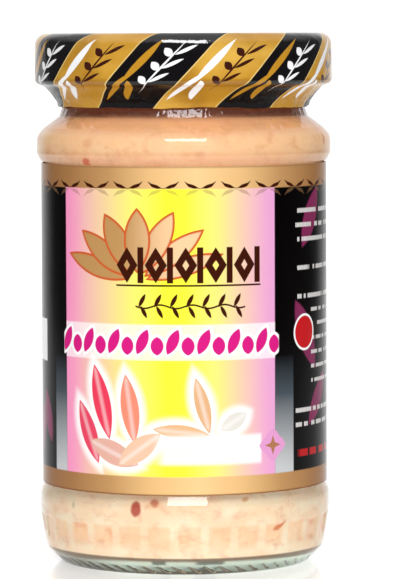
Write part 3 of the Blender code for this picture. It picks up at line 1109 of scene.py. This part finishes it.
neck_end = NECK_RADIUS + 0.5
sleeve_outside = rounded(
    (
        (21.4, SLEEVE_HIGH),
        (SLEEVE_RADIUS, SLEEVE_HIGH, 2.1),
        (SLEEVE_RADIUS, 82.6, 0.9),
        (24.0, 82.0, 1.2),
        (22.6, 80.4, 1.5),
        (neck_end + 0.2, 79.3, 1.5),
        (neck_end, SLEEVE_LOW),
    )
)
sleeve_outside = filled_in(sleeve_outside, 0.4)


def set_in(line, thickness):
    """The same line, set to its right by a thickness."""
    result = []
    for index, point in enumerate(line):
        before = line[max(index - 1, 0)]
        after = line[min(index + 1, len(line) - 1)]
        along = (after - before).normalized()
        result.append(point + Vector((along.y, -along.x)) * thickness)
    return result


shape = Shape(
    "striped_sleeve",
    sleeve_outside + set_in(sleeve_outside, FILM)[::-1],
    SLEEVE_FLATS,
    film.material,
    closed=True,
    Pucker=0.16,
    Dent=0.08,
    Ragged=0.35,
    Seed=0.0,
)
place = shape.place
pleat = place.noise(0.55, 3.0, (1.0, 1.0, 0.25), 2.0)
low = place.z.rise(83.2, 80.5)
dent = place.noise(0.28, 2.0, seed=6.0).rise(-0.3, 0.7) * place.z.near(83.5, 90.0, 0.8)
raised = place.noise(0.12, 2.0, (1.0, 1.0, 0.0), 9.0).rise(-0.4, 0.5) * place.z.rise(80.2, 78.6)
inwards = (1.0 - pleat.rise(-0.6, 0.6)) * low * shape.size("Pucker") + dent * shape.size("Dent")
shape.push(-inwards, raised * shape.size("Ragged"))
sleeve = shape.made()
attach(sleeve, "lid")
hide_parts("shrink_sleeve")


# Floor, light and camera: a glossy white table in a white studio, one softbox above the front,
# and a long lens a little above the jar.

TABLE_RADIUS = 0.6
TABLE_HALF_WIDTH = 0.4
TABLE_BACK = 0.2
TABLE_SIDES = 120
SOFTBOX_PLACE = Vector((0.02, -0.75, 0.6))
SOFTBOX_AIM = Vector((0.0, 0.0, 0.04))
SOFTBOX_SIZE = (0.46, 0.4)
SOFTBOX_POWER = 6.1
CAMERA_PLACE = (0.0, -0.628, 0.0901)
CAMERA_LENS = 226.1
CAMERA_TURN = math.radians(-0.281)
CAMERA_TILT = math.radians(90.0 - 3.945)
CAMERA_ROLL = math.radians(-0.22)

ground = bpy.data.materials.new("white table")
ground.use_nodes = True
shader = ground.node_tree.nodes["Principled BSDF"]
shader.inputs["Base Color"].default_value = (0.92, 0.92, 0.92, 1.0)
shader.inputs["Roughness"].default_value = 0.08
shader.inputs["Specular IOR Level"].default_value = 0.5
shader.inputs["Emission Color"].default_value = (1.0, 1.0, 1.0, 1.0)
shader.inputs["Emission Strength"].default_value = 0.2
rim = []
for step in range(TABLE_SIDES):
    turn = step * 2 * math.pi / TABLE_SIDES
    spot = (TABLE_HALF_WIDTH * math.cos(turn), TABLE_BACK + TABLE_RADIUS * math.sin(turn), 0.0)
    rim.append(spot)
mesh = bpy.data.meshes.new("table")
mesh.from_pydata(rim, [], [range(TABLE_SIDES)])
mesh.materials.append(ground)
table = bpy.data.objects.new("white_table", mesh)
bpy.context.scene.collection.objects.link(table)

# A light ceiling and a bright wall behind the jar, in a dim room that the camera sees as white.
world = bpy.data.worlds.new("studio")
world.use_nodes = True
bpy.context.scene.world = world
tree = world.node_tree
background = tree.nodes["Background"]
_, ahead, height = parted(tree, add(tree, "ShaderNodeTexCoord").outputs["Generated"])
seen = Field(tree, add(tree, "ShaderNodeLightPath").outputs["Is Camera Ray"])
studio = height.rise(0.25, 0.75) * 0.55 + ahead.rise(0.6, 0.97) * 0.9 + 0.1
strength = studio * (1.0 - seen) + seen * 1.2
tree.links.new(strength.socket, background.inputs["Strength"])
background.inputs["Color"].default_value = (1.0, 1.0, 1.0, 1.0)

light = bpy.data.lights.new("softbox", "AREA")
light.shape = "RECTANGLE"
light.size, light.size_y = SOFTBOX_SIZE
light.energy = SOFTBOX_POWER
softbox = bpy.data.objects.new("softbox", light)
softbox.location = SOFTBOX_PLACE
softbox.rotation_euler = (SOFTBOX_AIM - SOFTBOX_PLACE).to_track_quat("-Z", "Y").to_euler()
bpy.context.scene.collection.objects.link(softbox)

camera_data = bpy.data.cameras.new("camera")
camera_data.lens = CAMERA_LENS
camera = bpy.data.objects.new("camera", camera_data)
camera.matrix_world = (
    Matrix.Translation(CAMERA_PLACE)
    @ Matrix.Rotation(CAMERA_TURN, 4, "Z")
    @ Matrix.Rotation(CAMERA_TILT, 4, "X")
    @ Matrix.Rotation(CAMERA_ROLL, 4, "Z")
)
bpy.context.scene.collection.objects.link(camera)

scene = bpy.context.scene
scene.camera = camera
scene.view_settings.view_transform = "Standard"
scene.cycles.use_denoising = True
scene.cycles.caustics_refractive = False
scene.cycles.caustics_reflective = False
